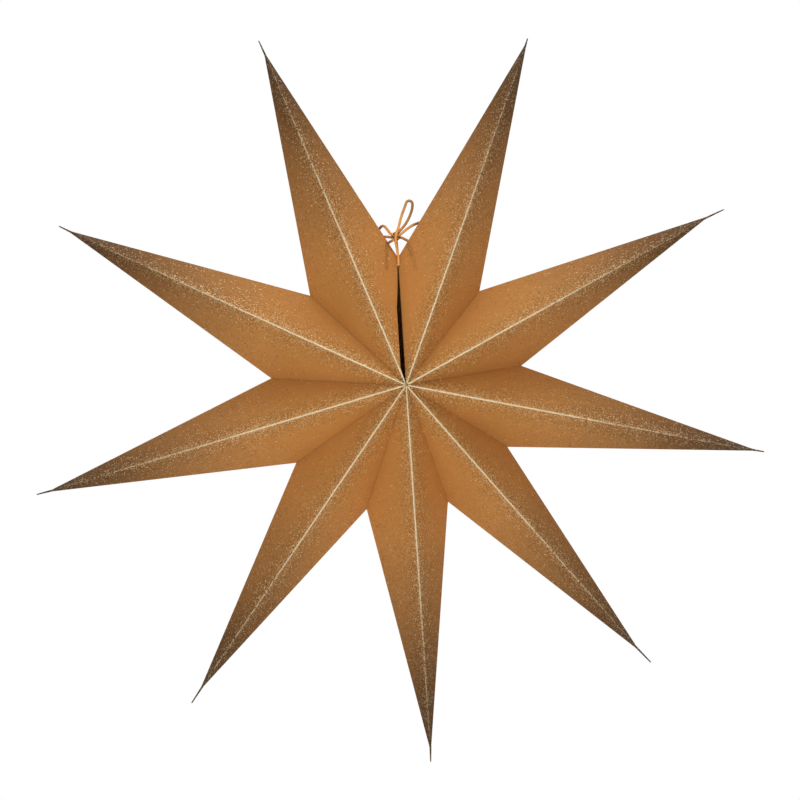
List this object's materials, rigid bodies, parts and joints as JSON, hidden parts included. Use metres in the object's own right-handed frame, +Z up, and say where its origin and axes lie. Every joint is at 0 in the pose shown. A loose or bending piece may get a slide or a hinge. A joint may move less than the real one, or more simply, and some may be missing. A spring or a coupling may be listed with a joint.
{
  "type": "folded paper star",
  "caption": "Hollow folded paper star with creased points glued edge to edge, its open seam tied at the top by a leather cord with a bow and a hanging loop.",
  "frame": {"origin": "top of the hanging loop's inside, where a hook carries the star", "axes": "+Z up, +X to the right of the star seen from the front, +Y to its back"},
  "size_m": [0.5835, 0.15, 0.5801],
  "materials": {
    "paper": "matt kraft brown card with fine gold glitter along the ridges",
    "cord": "smooth light tan leather"
  },
  "bodies": {
    "root": {"point_1": "paper", "point_2": "paper", "point_3": "paper", "point_4": "paper", "point_5": "paper", "point_6": "paper", "point_7": "paper", "point_8": "paper", "point_9": "paper", "bow_knot": "cord", "hanging_cord": "cord", "left_bow_loop": "cord", "right_bow_loop": "cord", "left_tail": "cord"}
  },
  "joints": []
}
